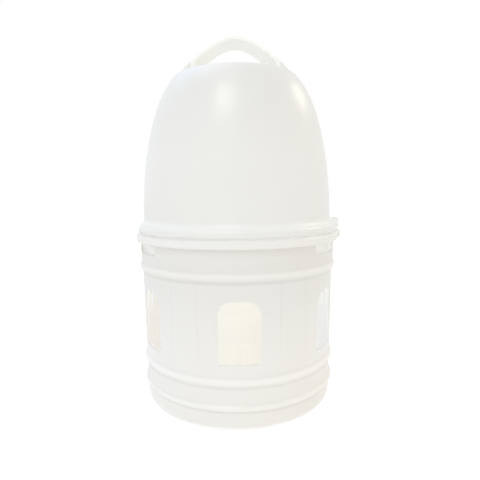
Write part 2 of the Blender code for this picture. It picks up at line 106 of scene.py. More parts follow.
NECK_RADIUS = 0.0400
NECK_TOP = 0.0870
NECK_BOTTOM = 0.0080
CONE_FOOT = (0.0440, 0.0980)
CONE_PULL = (0.0410, 0.0945)
NECK_PULL = (0.0400, 0.0910)
HOOP = (0.0628, 0.0050, 0.0010)
CHANNEL_WIDTH = 0.0050
CHANNEL_DEPTH = 0.0013
CHANNEL_SPAN = (0.0350, 0.0750)
OUTLET_TOP = 0.0460
SEAL_HEIGHT = 0.0057
SEAL_WIDTH = 0.0026
SKIRT_RADIUS = 0.0980
SKIRT_BOTTOM = RIM_TOP + SEAL_HEIGHT + 2 * FIT_GAP
BELL_RADIUS = 0.0973
BELL_FOOT = 0.1920
TANK_FLANGE_RADIUS = 0.1031
FLARE_RADIUS = 0.0070
BELL_RISE = 0.0480
CROWN_RADIUS = 0.0640
CROWN_HEIGHT = 0.3323
CROWN_ANGLE = 47.5
CROWN_PULL = 0.0361
RIM_ROUND = 0.0028
DISH_DEPTH = 0.0030
DISH_RADIUS = 0.0585
CREST_HEIGHT = CROWN_HEIGHT + RIM_ROUND * (1 - math.cos(math.radians(CROWN_ANGLE)))
DISH_FLOOR = CREST_HEIGHT - DISH_DEPTH
ARCH_TOP = 0.3716
ARCH_FOOT = (0.0600, 0.3292)
ARCH_TOP_PULL = 0.0194
ARCH_FOOT_PULL = (0.0431, 0.3487)
STRAP_TOP_WIDTH = 0.0330
STRAP_FOOT_WIDTH = 0.0450
STRAP_THICKNESS = 0.0032
STRAP_HALF_SPAN = 0.0442
SOCKET_HEIGHT = 0.0070
SOCKET_WALL = 0.0024
SOCKET_FLOOR = 0.0010
BRACE_END = 0.0585

# The foot and head of the two bands of wall that hold the windows and the slots
WINDOW_BAND = (0.0580, 0.1350)
SLOT_BAND = (0.1530, FLANGE_BOTTOM)

# The bell flange's crest and lip, which are rounder here than in the solid
TANK_CREST_ROUND = 0.0050
TANK_CREST_RISE = 0.0043
TANK_LIP_ROUND = 0.0030

# How finely the pieces are made, how far joined shapes sink into each other and cutters reach, the
# angles above which an edge is rounded and shaded sharp, and edge roundings
COLUMNS = 180
WINDOW_ROWS = 30
WINDOW_HEAD_TURNS = 14
SLOT_ROWS = 10
SLOT_HEAD_TURNS = 4
BITE = 0.0010
OVERCUT = 0.0030
CUT_DEPTH = 0.0100
SHARP_ANGLE = 35.0
CREASE_ANGLE = 40.0
EDGE = 0.0006
TAB_EDGE = 0.0011
STRAP_EDGE = 0.0009

# The finish: the share of soft light that passes each face of a wall, how rough the plastic is, the
# radius at height 0 and its growth that part the base wall's inner face from its outer one, and how
# passing light is tinted
WALL_CLEARNESS = 1.0
FUNNEL_CLEARNESS = 0.95
WALL_ROUGHNESS = 0.30
FUNNEL_ROUGHNESS = 0.40
BASE_SKIN = (0.0964, 0.0165)
WARM_TINT = (1.0, 0.993, 0.982)
CLEAR_TINT = (1.0, 1.0, 0.995)

# The plastic's cloudy patches, grain, scuffs and sink lines, and the rubber's tooth
CLOUD_SCALE = 22.0
THIN_SHARES = (1.0, 0.985, 0.955)
GRAIN_SCALE = 1400.0
PATCH_SCALE = 9.0
SCRATCH_SCALE = (900.0, 900.0, 28.0)
SCRATCH_TURN = (0.5, 0.3, 0.2)
SCUFF_DEPTH = 0.00003
SCUFF_ROUGHNESS = 0.12
ROUGHNESS_SPREAD = (-0.015, 0.04)
SINK_HALF_ANGLE = 0.75
SINK_FOOT = (0.055, 0.080)
SINK_TOP = (0.145, 0.139)
SINK_DEPTH = 0.00012
SINK_SHADE = 0.94
TOOTH_SCALE = 260.0
TOOTH_DEPTH = 0.00006

# Painted light and shade by height: how much paler or duller the plastic is painted at each height,
# chosen to match the tones of the real one. In the material, heights are told as shares of the height
# set just below. A rib gets a painted highlight on its crest and painted shade in the crease below it,
# at shares of its own height above or below its middle.
PAINTED_LIGHT_HEIGHT = 0.3400
# Base: darker at the very foot, paler up the lower wall as painted light from the floor, duller on the
# collar as painted shade under the flange, a dip of painted shadow just below the flange, and a paler
# flange as a painted highlight.
BASE_PAINTED_LIGHT = ((0.0, 0.90), (0.010, 0.955), (0.060, 0.97), (0.100, 0.94), (0.125, 0.91), (0.152, 0.895),
             (0.1660, 0.895), (0.1680, 0.86), (0.1690, 0.86), (0.1710, 0.97))
# Each rib: a painted highlight on its crest and painted shade in the crease below it.
RIB_PAINTED_LIGHT = ((0.55, 0.0), (0.25, 0.11), (-0.05, 0.04), (-0.5, -0.08), (-0.8, 0.0))
# Tank: a paler skirt as painted light in the slots and in the slit under its flange, a paler flange crest
# as a painted highlight, and a duller top as painted shade.
TANK_PAINTED_LIGHT = ((0.1775, 0.96), (0.1785, 0.895), (0.1825, 0.895), (0.1855, 0.96), (0.1880, 0.96),
             (0.1915, 0.895), (0.2500, 0.895), (0.3050, 0.860))

# The studio's soft light: from the sides, and from overhead on the left and on the right
SIDE_LIGHT = ((1.16, 1.15, 1.12), (1.20, 1.13, 1.03))
SKY_LIGHT = ((0.45, 0.50, 0.575), (0.55, 0.545, 0.54))

# Each lamp's place, width and colour, the height they point at, the camera's lens, place and turns,
# and how far the floor lies below the base
KEY_LAMP = ((-0.38, -1.08, 1.60), 0.55, (1.0, 1.0, 1.0))
TOP_LAMP = ((-0.30, 0.15, 1.70), 0.90, (0.85, 0.91, 1.0))
WARM_LAMP = ((1.20, 0.58, 1.13), 0.30, (1.0, 0.93, 0.74))
COOL_LAMP = ((-0.72, 0.65, 1.45), 0.80, (0.25, 0.58, 1.0))
AIM_HEIGHT = 0.2
LENS = 31.95
CAMERA_PLACE = (0.0031, -0.458, 0.217)
CAMERA_TURN = -1.1
CAMERA_DIP = 6.3
CAMERA_ROLL = -0.58
FLOOR_DROP = 0.0003


class DrinkerSettings(bpy.types.PropertyGroup):
    """What a user may change about the drinker's finish and its studio."""

    wall_colour: bpy.props.FloatVectorProperty(
        name="Base Colour", description="Plastic of the base", subtype="COLOR", size=3,
        min=0.0, max=1.0, default=(0.925, 0.912, 0.880))
    tank_colour: bpy.props.FloatVectorProperty(
        name="Tank Colour", description="Plastic of the tank bell", subtype="COLOR", size=3,
        min=0.0, max=1.0, default=(0.965, 0.964, 0.935))
    # A paler colour for the base's inner face: painted light that stands for light coming in through the
    # wall.
    inside_painted_glow: bpy.props.FloatVectorProperty(
        name="Inside Colour", description="Plastic on the base's inner side", subtype="COLOR", size=3,
        min=0.0, max=1.0, default=(0.970, 0.972, 0.965))
    inner_colour: bpy.props.FloatVectorProperty(
        name="Funnel Colour", description="Plastic of the funnel and its neck", subtype="COLOR", size=3,
        min=0.0, max=1.0, default=(0.985, 0.973, 0.92))
    strap_colour: bpy.props.FloatVectorProperty(
        name="Strap Colour", description="Plastic of the carrying strap", subtype="COLOR", size=3,
        min=0.0, max=1.0, default=(0.955, 0.96, 0.92))
    seal_colour: bpy.props.FloatVectorProperty(
        name="Seal Colour", description="Rubber of the seal between funnel and tank", subtype="COLOR",
        size=3, min=0.0, max=1.0, default=(0.72, 0.71, 0.67))
    edge_round: bpy.props.FloatProperty(
        name="Edge Rounding", description="Radius of the windows' and slots' moulded edges",
        default=EDGE, min=0.0001, max=0.0010, unit="LENGTH")
    grain_depth: bpy.props.FloatProperty(
        name="Grain Depth", description="Depth of the plastic's fine moulded grain",
        default=0.00002, min=0.0, max=0.0002, unit="LENGTH")
    key_power: bpy.props.FloatProperty(
        name="Key Lamp", description="Power of the soft lamp in front", default=5.0, min=0.0,
        unit="POWER")
    warm_power: bpy.props.FloatProperty(
        name="Warm Lamp", description="Power of the soft warm lamp on the right", default=1.9, min=0.0,
        unit="POWER")
    top_power: bpy.props.FloatProperty(
        name="Top Lamp", description="Power of the large soft lamp overhead", default=3.0, min=0.0,
        unit="POWER")
    cool_power: bpy.props.FloatProperty(
        name="Cool Lamp", description="Power of the soft cool lamp on the left", default=1.8, min=0.0,
        unit="POWER")


def settings():
    return bpy.context.scene.drinker


# Outlines


def arc(centre, radius, start, end, steps):
    """Points on a circle from one angle to another, in degrees from the +X axis."""
    angles = [math.radians(start + (end - start) * i / steps) for i in range(steps + 1)]
    return [(centre[0] + radius * math.cos(a), centre[1] + radius * math.sin(a)) for a in angles]


def between(start, end, steps):
    """Evenly spaced points on a straight line, both ends included."""
    return [tuple(a + (b - a) * i / steps for a, b in zip(start, end)) for i in range(steps + 1)]


def curve_points(knot, handle, end_handle, end_knot, count):
    """Points on one Bezier stretch, both ends included."""
    corners = [Vector((x, z, 0.0)) for x, z in (knot, handle, end_handle, end_knot)]
    return [(point.x, point.y) for point in interpolate_bezier(*corners, count)]


def bead(top, bottom, depth, steps=16):
    """A rounded rib between two points of a profile, standing out by depth."""
    line = between(top, bottom, steps)
    return [(r + depth * math.sin(math.pi * i / steps), z) for i, (r, z) in enumerate(line)]


def inset(points, thickness):
    """The same line moved to its right by a wall's thickness, with mitred corners."""
    moved = []
    for i, point in enumerate(points):
        before = Vector(points[max(i - 1, 0)])
        after = Vector(points[min(i + 1, len(points) - 1)])
        here = Vector(point)
        ways = [way.normalized() for way in (here - before, after - here) if way.length > 0]
        sides = [Vector((way.y, -way.x)) for way in ways]
        middle = sum(sides, Vector((0.0, 0.0))).normalized()
        moved.append(tuple(here + middle * (thickness / middle.dot(sides[0]))))
    return moved


def side_at(radius, angle):
    """How far to the side a point lies that is turned by an angle from the front."""
    return radius * math.sin(math.radians(angle))


def height_on(line, x):
    """The height of a line of points at a given x."""
    for (x0, z0), (x1, z1) in zip(line, line[1:]):
        if x0 <= x <= x1:
            return z0 + (z1 - z0) * (x - x0) / (x1 - x0)
    return line[-1][1]


def wall_radius(height):
    """The base's outer wall, which tapers a little towards its foot."""
    share = (height - FOOT_ROUND) / (SHOULDER_HEIGHT - FOOT_ROUND)
    return WALL_FOOT_RADIUS + (BASE_RADIUS - WALL_FOOT_RADIUS) * share


def collar_radius(height):
    """The collar's outer wall, which is straight."""
    return COLLAR_RADIUS


# Scene and mesh helpers


def in_scene(name, data):
    """A new object in the scene."""
    thing = bpy.data.objects.new(name, data)
    bpy.context.scene.collection.objects.link(thing)
    return thing


def mesh_of(shape, name):
    """A bmesh as a mesh of its own."""
    mesh = bpy.data.meshes.new(name)
    shape.to_mesh(mesh)
    shape.free()
    return mesh


def joined(meshes):
    """The meshes as one, as they are."""
    shape = bmesh.new()
    for mesh in meshes:
        shape.from_mesh(mesh)
    return mesh_of(shape, "joined")


def skinned(shape, rings):
    """Quads between each ring of corners and the next."""
    for one, two in zip(rings, rings[1:]):
        for i in range(len(one)):
            j = (i + 1) % len(one)
            shape.faces.new((one[i], one[j], two[j], two[i]))


# Geometry node trees


def add_node(tree, kind, values=None, **options):
    """A node with its options set, and its inputs set by name or number."""
    node = tree.nodes.new(kind)
    for name, value in options.items():
        setattr(node, name, value)
    for key, value in (values or {}).items():
        if isinstance(value, bpy.types.NodeSocket):
            tree.links.new(value, node.inputs[key])
        else:
            node.inputs[key].default_value = value
    return node


def new_tree(name, inputs):
    """A geometry tree with a geometry input and output and further named inputs."""
    tree = bpy.data.node_groups.new(name, "GeometryNodeTree")
    tree.interface.new_socket("Geometry", in_out="INPUT", socket_type="NodeSocketGeometry")
    for label, kind in inputs:
        tree.interface.new_socket(label, in_out="INPUT", socket_type=kind)
    tree.interface.new_socket("Geometry", in_out="OUTPUT", socket_type="NodeSocketGeometry")
    return tree, tree.nodes.new("NodeGroupInput").outputs


def close_tree(tree, geometry, finish):
    """Ends a tree in Realize Instances and Set Material."""
    real = add_node(tree, "GeometryNodeRealizeInstances", {"Geometry": geometry})
    painted = add_node(tree, "GeometryNodeSetMaterial",
                       {"Geometry": real.outputs["Geometry"], "Material": finish})
    add_node(tree, "NodeGroupOutput", {"Geometry": painted.outputs["Geometry"]})
    return tree


def maths(tree, operation, *values):
    """The result of a math node on sockets and numbers."""
    node = add_node(tree, "ShaderNodeMath", dict(enumerate(values)), operation=operation)
    return node.outputs[0]


def turning_tree():
    """Turns a profile of (radius, 0, height) points once round the Z axis, on a grid of its points."""
    tree, given = new_tree("turned wall", [("Columns", "NodeSocketInt"), ("Finish", "NodeSocketMaterial")])
    size = add_node(tree, "GeometryNodeAttributeDomainSize", {"Geometry": given["Geometry"]})
    across = maths(tree, "ADD", given["Columns"], 1.0)
    grid = add_node(tree, "GeometryNodeMeshGrid", {
        "Vertices X": size.outputs["Point Count"], "Vertices Y": across})
    index = add_node(tree, "GeometryNodeInputIndex").outputs["Index"]
    row = maths(tree, "FLOOR", maths(tree, "DIVIDE", maths(tree, "ADD", index, 0.5), across))
    column = maths(tree, "SUBTRACT", index, maths(tree, "MULTIPLY", row, across))
    place = add_node(tree, "GeometryNodeInputPosition").outputs["Position"]
    point = add_node(tree, "GeometryNodeSampleIndex", {
        "Geometry": given["Geometry"], "Value": place, "Index": row}, data_type="FLOAT_VECTOR")
    split = add_node(tree, "ShaderNodeSeparateXYZ", {"Vector": point.outputs["Value"]})
    angle = maths(tree, "MULTIPLY", maths(tree, "DIVIDE", column, given["Columns"]), math.tau)
    x = maths(tree, "MULTIPLY", split.outputs["X"], maths(tree, "SINE", angle))
    y = maths(tree, "MULTIPLY", split.outputs["X"], maths(tree, "COSINE", angle))
    spot = add_node(tree, "ShaderNodeCombineXYZ", {
        "X": x, "Y": maths(tree, "MULTIPLY", y, -1.0), "Z": split.outputs["Z"]})
    turned = add_node(tree, "GeometryNodeSetPosition", {
        "Geometry": grid.outputs["Mesh"], "Position": spot.outputs["Vector"]})
    closed = add_node(tree, "GeometryNodeMergeByDistance", {
        "Geometry": turned.outputs["Geometry"], "Distance": 0.000002})
    return close_tree(tree, closed.outputs["Geometry"], given["Finish"])


def ring_tree():
    """Repeats one front-facing shape at even angles round the Z axis."""
    tree, given = new_tree("ring of copies", [
        ("Count", "NodeSocketInt"), ("First Angle", "NodeSocketFloat"), ("Finish", "NodeSocketMaterial")])
    points = add_node(tree, "GeometryNodePoints", {"Count": given["Count"]})
    index = add_node(tree, "GeometryNodeInputIndex").outputs["Index"]
    step = maths(tree, "DIVIDE", 360.0, given["Count"])
    angle = maths(tree, "ADD", given["First Angle"], maths(tree, "MULTIPLY", index, step))
    turn = add_node(tree, "ShaderNodeCombineXYZ", {"Z": maths(tree, "RADIANS", angle)})
    copies = add_node(tree, "GeometryNodeInstanceOnPoints", {
        "Points": points.outputs[0], "Instance": given["Geometry"], "Rotation": turn.outputs["Vector"]})
    return close_tree(tree, copies.outputs["Instances"], given["Finish"])


def tree_named(name, maker):
    return bpy.data.node_groups.get(name) or maker()


def evaluated(thing):
    """A plain mesh of an object with its modifiers applied."""
    bpy.context.view_layer.update()
    graph = bpy.context.evaluated_depsgraph_get()
    return bpy.data.meshes.new_from_object(thing.evaluated_get(graph))


def run_tree(mesh, tree, values):
    """The mesh that a geometry tree makes of the given one."""
    holder = in_scene(tree.name, mesh)
    modifier = holder.modifiers.new(tree.name, "NODES")
    modifier.node_group = tree
    for item in tree.interface.items_tree:
        if item.in_out == "INPUT" and item.name in values:
            modifier[item.identifier] = values[item.name]
    result = evaluated(holder)
    bpy.data.objects.remove(holder)
    return result


def turned(profile, finish):
    """A wall turned from a profile."""
    mesh = bpy.data.meshes.new("profile")
    mesh.from_pydata([(radius, 0.0, height) for radius, height in profile], [], [])
    return run_tree(mesh, tree_named("turned wall", turning_tree), {"Columns": COLUMNS, "Finish": finish})


def ring(mesh, count, first_angle, finish):
    """One mesh with copies of a front-facing one round the axis."""
    values = {"Count": count, "First Angle": first_angle, "Finish": finish}
    return run_tree(mesh, tree_named("ring of copies", ring_tree), values)


# Mesh work


def welded(meshes):
    """The meshes as one, with touching points joined and all faces pointing outwards."""
    shape = bmesh.new()
    for mesh in meshes:
        shape.from_mesh(mesh)
    bmesh.ops.remove_doubles(shape, verts=shape.verts, dist=0.00001)
    bmesh.ops.dissolve_degenerate(shape, edges=shape.edges, dist=0.000001)
    bmesh.ops.recalc_face_normals(shape, faces=shape.faces)
    open_edges = sum(len(edge.link_faces) != 2 for edge in shape.edges)
    if open_edges:
        raise RuntimeError(f"{meshes[0].name} has {open_edges} open edges")
    result = meshes[0].copy()
    shape.to_mesh(result)
    shape.free()
    return result


def prism(outline, depth):
    """A flat outline in the XZ plane, thickened evenly to both sides of it along Y."""
    shape = bmesh.new()
    rings = [[shape.verts.new((x, y, z)) for x, z in outline] for y in (-depth / 2, depth / 2)]
    for side in rings:
        shape.faces.new(side)
    skinned(shape, rings)
    bmesh.ops.recalc_face_normals(shape, faces=shape.faces)
    return mesh_of(shape, "prism")


def block(low, high):
    """A box between two corners."""
    middle = (low[1] + high[1]) / 2
    corners = [(low[0], low[2]), (high[0], low[2]), (high[0], high[2]), (low[0], high[2])]
    mesh = prism(corners, high[1] - low[1])
    mesh.transform(Matrix.Translation((0.0, middle, 0.0)))
    return mesh


def rounded(mesh, width, segments=3):
    """The mesh with its sharp edges rounded off."""
    holder = in_scene("rounded", mesh)
    bevel = holder.modifiers.new("edges", "BEVEL")
    bevel.width = width
    bevel.segments = segments
    bevel.limit_method = "ANGLE"
    bevel.angle_limit = math.radians(SHARP_ANGLE)
    result = evaluated(holder)
    bpy.data.objects.remove(holder)
    return result


def combined(mesh, tools, operation):
    """The mesh with other meshes cut out of it or joined to it."""
    holder = in_scene("combined", mesh)
    cutters = [in_scene("tool", tool) for tool in tools]
    for cutter in cutters:
        boolean = holder.modifiers.new("cut", "BOOLEAN")
        boolean.operation = operation
        boolean.object = cutter
        boolean.solver = "EXACT"
    result = evaluated(holder)
    for thing in [holder, *cutters]:
        bpy.data.objects.remove(thing)
    return result


def place(name, mesh, body, finish, slot, replaces=()):
    """Puts a finished piece in the scene and makes it ride on its body."""
    mesh.materials.clear()
    mesh.materials.append(finish)
    mesh.shade_smooth()
    mesh.set_sharp_from_angle(angle=math.radians(CREASE_ANGLE))
    piece = in_scene(name, mesh)
    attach(piece, body)
    if replaces:
        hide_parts(*replaces)
    return piece


def hole_line(half, low, high, low_round, high_round, grow, across, up, bend):
    """Points round an upright hole, from its lower left corner along its foot and round, grown by grow.

    across and up are the counts of segments along the foot and head and along each side, and bend is
    how many of the head's segments each of its round corners takes.
    """
    half, low, high = half + grow, low - grow, high + grow
    low_round, high_round = low_round + grow, high_round + grow
    corner_steps = up // 5
    foot = between((-half + low_round, low), (half - low_round, low), across)
    right = arc((half - low_round, low + low_round), low_round, 270, 360, corner_steps)
    right += between((half, low + low_round), (half, high - high_round), up - corner_steps)[1:]
    head = arc((half - high_round, high - high_round), high_round, 0, 90, bend)
    head += between((half - high_round, high), (-half + high_round, high), across - 2 * bend)[1:]
    head += arc((-half + high_round, high - high_round), high_round, 90, 180, bend)[1:]
    left = [(-x, z) for x, z in right[::-1]]
    return foot[:-1] + right[:-1] + head[:-1] + left[:-1]


def holed_panel(radius_at, thickness, band, sector, hole, across, up, edge, levels=12):
    """A sector of upright round wall with a hole in it, whose edges are rounded.

    hole gives the hole's outline for an amount that it is grown by. The wall is a strip of quads that
    runs from the sector's border to the hole on the outside, through the hole, and back on the inside.
    """
    half = sector / 2
    low, high = band
    border = between((-half, low), (half, low), across)[:-1]
    border += between((half, low), (half, high), up)[:-1]
    border += between((half, high), (-half, high), across)[:-1]
    border += between((-half, high), (-half, low), up)[:-1]
    turns = [90.0 * i / 4 for i in range(5)]
    steps = [(i / levels, edge, 0.0) for i in range(levels)]
    steps += [(1.0, edge * (1 - math.sin(math.radians(t))), edge * (1 - math.cos(math.radians(t))))
              for t in turns]
    steps += [(share, grow, thickness - depth) for share, grow, depth in steps[::-1]]

    shape = bmesh.new()
    rings = []
    for share, grow, depth in steps:
        verts = []
        for (angle, border_height), (x, hole_height) in zip(border, hole(grow)):
            height = border_height + (hole_height - border_height) * share
            radius = radius_at(height) - depth
            hole_angle = math.degrees(math.asin(x / radius))
            turn = math.radians(angle + (hole_angle - angle) * share)
            verts.append(shape.verts.new((radius * math.sin(turn), -radius * math.cos(turn), height)))
        rings.append(verts)
    skinned(shape, rings)
    return mesh_of(shape, "panel")


# Materials


def mixed(tree, share, low, high):
    """The colour between two others, each a socket or a plain colour."""
    ends = [end if isinstance(end, bpy.types.NodeSocket) else (*end, 1.0) for end in (low, high)]
    node = add_node(tree, "ShaderNodeMix", {"Factor": share, 6: ends[0], 7: ends[1]}, data_type="RGBA")
    return node.outputs[2]


def ranged(tree, value, low, high, start=0.0, end=1.0, **options):
    """Where a value lies between low and high, told as a number from start to end."""
    node = add_node(tree, "ShaderNodeMapRange", {
        "Value": value, "From Min": low, "From Max": high, "To Min": start, "To Max": end}, **options)
    return node.outputs[0]


def noise(tree, spot, scale, detail):
    """Smooth noise from 0 to 1."""
    node = add_node(tree, "ShaderNodeTexNoise", {"Vector": spot, "Scale": scale, "Detail": detail})
    return node.outputs["Fac"]


def parted(tree, spot):
    """The X, Y and Z sockets of a place or a direction."""
    return add_node(tree, "ShaderNodeSeparateXYZ", {"Vector": spot}).outputs


def new_material(name):
    """A material, its tree, its main shader and the place on the piece that is being shaded."""
    material = bpy.data.materials.new(name)
    material.use_nodes = True
    tree = material.node_tree
    spot = add_node(tree, "ShaderNodeTexCoord").outputs["Object"]
    return material, tree, tree.nodes["Principled BSDF"], spot


def scuffs(tree, spot, patch):
    """Fine slanting scratches, from 0 to 1, in some patches of the surface."""
    stretched = add_node(tree, "ShaderNodeMapping", {
        "Vector": spot, "Rotation": SCRATCH_TURN, "Scale": SCRATCH_SCALE})
    scratch = noise(tree, stretched.outputs["Vector"], 1.0, 1.0)
    return maths(tree, "MULTIPLY", ranged(tree, scratch, 0.66, 0.74), ranged(tree, patch, 0.52, 0.68))


def sink_lines(tree, spot):
    """Faint upright lines, from 0 to 1, where the brackets stand behind the base's wall."""
    x, y, z = parted(tree, spot)
    angle = maths(tree, "DEGREES", maths(tree, "ARCTAN2", x, maths(tree, "MULTIPLY", y, -1.0)))
    sector = maths(tree, "FLOORED_MODULO", angle, 360.0 / WINDOW_COUNT)
    pier = maths(tree, "ABSOLUTE", maths(tree, "SUBTRACT", sector, 180.0 / WINDOW_COUNT))
    off = maths(tree, "ABSOLUTE", maths(tree, "SUBTRACT", pier, BRACKET_SPREAD))
    near = ranged(tree, off, 0.0, SINK_HALF_ANGLE, 1.0, 0.0, interpolation_type="SMOOTHSTEP")
    upright = maths(tree, "MULTIPLY", ranged(tree, z, *SINK_FOOT), ranged(tree, z, *SINK_TOP))
    return maths(tree, "MULTIPLY", near, upright)


def painted_by_height(tree, spot, shade, glow):
    """The colour with painted light and shade by height, as glow lists them: paler where light is painted,
    duller where shade is painted.
    """
    level = maths(tree, "DIVIDE", parted(tree, spot)["Z"], PAINTED_LIGHT_HEIGHT)
    ramp = add_node(tree, "ShaderNodeValToRGB", {"Fac": level})
    stops = ramp.color_ramp.elements
    stops.remove(stops[1])
    for number, (height, painted_brightness) in enumerate(glow):
        stop = stops.new(height / PAINTED_LIGHT_HEIGHT) if number else stops[0]
        stop.position = height / PAINTED_LIGHT_HEIGHT
        stop.color = (painted_brightness, painted_brightness, painted_brightness, 1.0)
    product = add_node(tree, "ShaderNodeVectorMath", {
        0: shade, 1: ramp.outputs["Color"]}, operation="MULTIPLY")
    return product.outputs[0]


def inner_side(tree, spot, skin):
    """1 on a round wall's inner face and 0 on its outer face.

    skin is the radius that parts the two faces at height 0, and how much it grows with height.
    """
    x, y, z = parted(tree, spot)
    flat = add_node(tree, "ShaderNodeCombineXYZ", {"X": x, "Y": y})
    radius = add_node(tree, "ShaderNodeVectorMath", {0: flat.outputs[0]}, operation="LENGTH")
    parting = maths(tree, "MULTIPLY_ADD", z, skin[1], skin[0])
    return maths(tree, "LESS_THAN", radius.outputs["Value"], parting)


def plastic(name, colour, roughness, clearness, tint, skin=None, inner_colour=None, lines=False, glow=None):
    """Milky moulded plastic: cloudy colour, fine grain, faint scuffs, and sink lines on the base's wall.

    skin and inner_colour give a wall's inner face its own paler colour, painted light that stands for light
    coming in through the wall. glow lists heights with the painted light and shade there.
    """
    material, tree, shader, spot = new_material(name)
    thin = [channel * share for channel, share in zip(colour, THIN_SHARES)]
    shade = mixed(tree, noise(tree, spot, CLOUD_SCALE, 3.0), thin, colour)
    patch = noise(tree, spot, PATCH_SCALE, 2.0)
    scuff = scuffs(tree, spot, patch)
    height = maths(tree, "MULTIPLY", noise(tree, spot, GRAIN_SCALE, 2.0), settings().grain_depth)
    height = maths(tree, "SUBTRACT", height, maths(tree, "MULTIPLY", scuff, SCUFF_DEPTH))
    if lines:
        sink = sink_lines(tree, spot)
        height = maths(tree, "SUBTRACT", height, maths(tree, "MULTIPLY", sink, SINK_DEPTH))
        darker = [channel * SINK_SHADE for channel in colour]
        shade = mixed(tree, maths(tree, "MULTIPLY", sink, 0.5), shade, darker)
    # Painted light and shade by height.
    if glow:
        shade = painted_by_height(tree, spot, shade, glow)
    inner = None
    # The inner face gets a paler colour of its own: painted light that stands for light coming in through
    # the wall.
    if skin:
        inner = inner_side(tree, spot, skin)
        shade = mixed(tree, inner, shade, inner_colour)
    bump = add_node(tree, "ShaderNodeBump", {"Height": height, "Strength": 1.0, "Distance": 1.0})
    rough = ranged(tree, patch, 0.3, 0.7, *[roughness + change for change in ROUGHNESS_SPREAD])
    rough = maths(tree, "ADD", rough, maths(tree, "MULTIPLY", scuff, SCUFF_ROUGHNESS))
    tree.links.new(shade, shader.inputs["Base Color"])
    tree.links.new(rough, shader.inputs["Roughness"])
    tree.links.new(bump.outputs["Normal"], shader.inputs["Normal"])
    shader.inputs["IOR"].default_value = 1.50
    let_light_through(tree, shader, clearness, tint, inner)
    return material


def let_light_through(tree, shader, clearness, tint, inner):
    """Soft light that meets the thin milky wall partly goes through it, tinted a little at each face.

    inner marks a wall's inner face. Rays that are traced towards the light get out through both faces,
    and in through the inner one alone, so light reaches the inside and the outer face keeps its shadows.
    Without inner they pass every face.
    """
    share = clearness
    if inner:
        behind = add_node(tree, "ShaderNodeNewGeometry").outputs["Backfacing"]
        share = maths(tree, "MULTIPLY", maths(tree, "MAXIMUM", inner, behind), clearness)
    path = add_node(tree, "ShaderNodeLightPath").outputs
    passed = add_node(tree, "ShaderNodeBsdfTransparent", {"Color": (*tint, 1.0)})
    both = add_node(tree, "ShaderNodeMixShader", {0: share, 1: shader.outputs[0], 2: passed.outputs[0]})
    bounced = add_node(tree, "ShaderNodeMixShader", {
        0: path["Is Diffuse Ray"], 1: shader.outputs[0], 2: both.outputs[0]})
    lit = add_node(tree, "ShaderNodeMixShader", {
        0: path["Is Shadow Ray"], 1: bounced.outputs[0], 2: both.outputs[0]})
    tree.links.new(lit.outputs[0], tree.nodes["Material Output"].inputs["Surface"])


def rubber(name, colour):
    """Matt rubber with a fine tooth."""
    material, tree, shader, spot = new_material(name)
    dust = noise(tree, spot, TOOTH_SCALE, 4.0)
    dull = [channel * 0.9 for channel in colour]
    tooth = maths(tree, "MULTIPLY", dust, TOOTH_DEPTH)
    bump = add_node(tree, "ShaderNodeBump", {"Height": tooth, "Strength": 1.0, "Distance": 1.0})
    tree.links.new(mixed(tree, dust, dull, colour), shader.inputs["Base Color"])
    tree.links.new(bump.outputs["Normal"], shader.inputs["Normal"])
    shader.inputs["Roughness"].default_value = 0.75
    return material


def finish_named(name, maker, *values, **options):
    return bpy.data.materials.get(name) or maker(name, *values, **options)


def base_painted_light():
    """The base's painted light and shade by height, with a painted highlight on the ribs' crests and
    painted shade in the creases below them.
    """
    stops = list(BASE_PAINTED_LIGHT)
    for middle, height in [(SHOULDER_HEIGHT, SHOULDER_RIB[0]), *[rib[:2] for rib in RIBS]]:
        for share, change in RIB_PAINTED_LIGHT:
            level = middle + share * height
            stops.append((level, height_on(BASE_PAINTED_LIGHT, level) + change))
    return sorted(stops)


# Pieces


def window_hole(grow):
    return hole_line(WINDOW_WIDTH / 2, WINDOW_SILL, WINDOW_TOP, WINDOW_SILL_ROUND, WINDOW_TOP_ROUND,
                     grow, COLUMNS // WINDOW_COUNT, WINDOW_ROWS, WINDOW_HEAD_TURNS)


def slot_hole(grow):
    return hole_line(side_at(BASE_RADIUS, SLOT_HALF_ANGLE), SLOT_TOP - SLOT_HEIGHT, SLOT_TOP, EDGE, EDGE,
                     grow, COLUMNS // SLOT_COUNT, SLOT_ROWS, SLOT_HEAD_TURNS)


